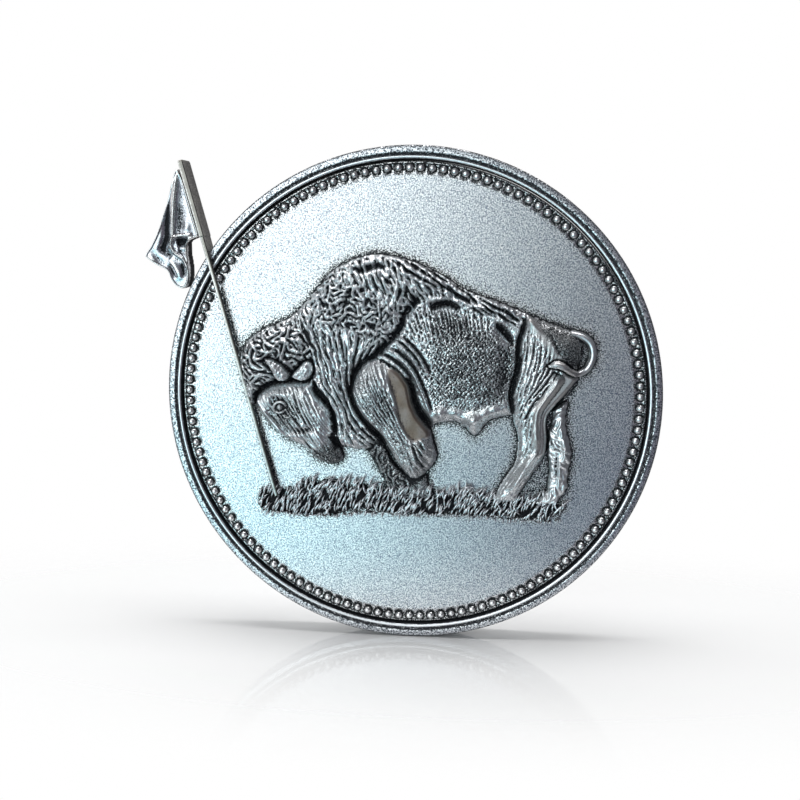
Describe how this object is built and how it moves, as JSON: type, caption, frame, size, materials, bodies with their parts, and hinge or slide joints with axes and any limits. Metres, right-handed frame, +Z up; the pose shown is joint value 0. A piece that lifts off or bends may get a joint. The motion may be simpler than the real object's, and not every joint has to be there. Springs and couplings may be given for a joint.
{
  "type": "challenge coin",
  "caption": "Round commemorative coin in antique silver with a beaded border and rim, a bison in high relief standing on turf, and a lance with a guidon that overhangs the edge.",
  "frame": {"origin": "on the coin's axis, at the flat of the reverse", "axes": "the coin stands on its edge: +Z up the design, +X to the right as the face is seen, and +Y out of the reverse, so the face looks towards -Y"},
  "size_m": [0.0528, 0.0048, 0.0508],
  "materials": {
    "sandblasted_field": "sandblasted antique silver, fine dark speckle",
    "rim_metal": "antique silver, black in the groove, bright on the crests",
    "bead_metal": "antique silver, bright tops and black between",
    "bison_metal": "antique silver, black in the hollows and rubbed bright on the hair",
    "turf_metal": "antique silver, mostly black with bright blades",
    "lance_metal": "satin antique silver",
    "guidon_metal": "polished antique silver, dark in the folds"
  },
  "bodies": {
    "root": {"coin_disc": "sandblasted_field", "rim_ring": "rim_metal", "bead_border": "bead_metal", "bison": "bison_metal", "turf": "turf_metal", "lance": "lance_metal", "guidon": "guidon_metal"}
  },
  "joints": []
}
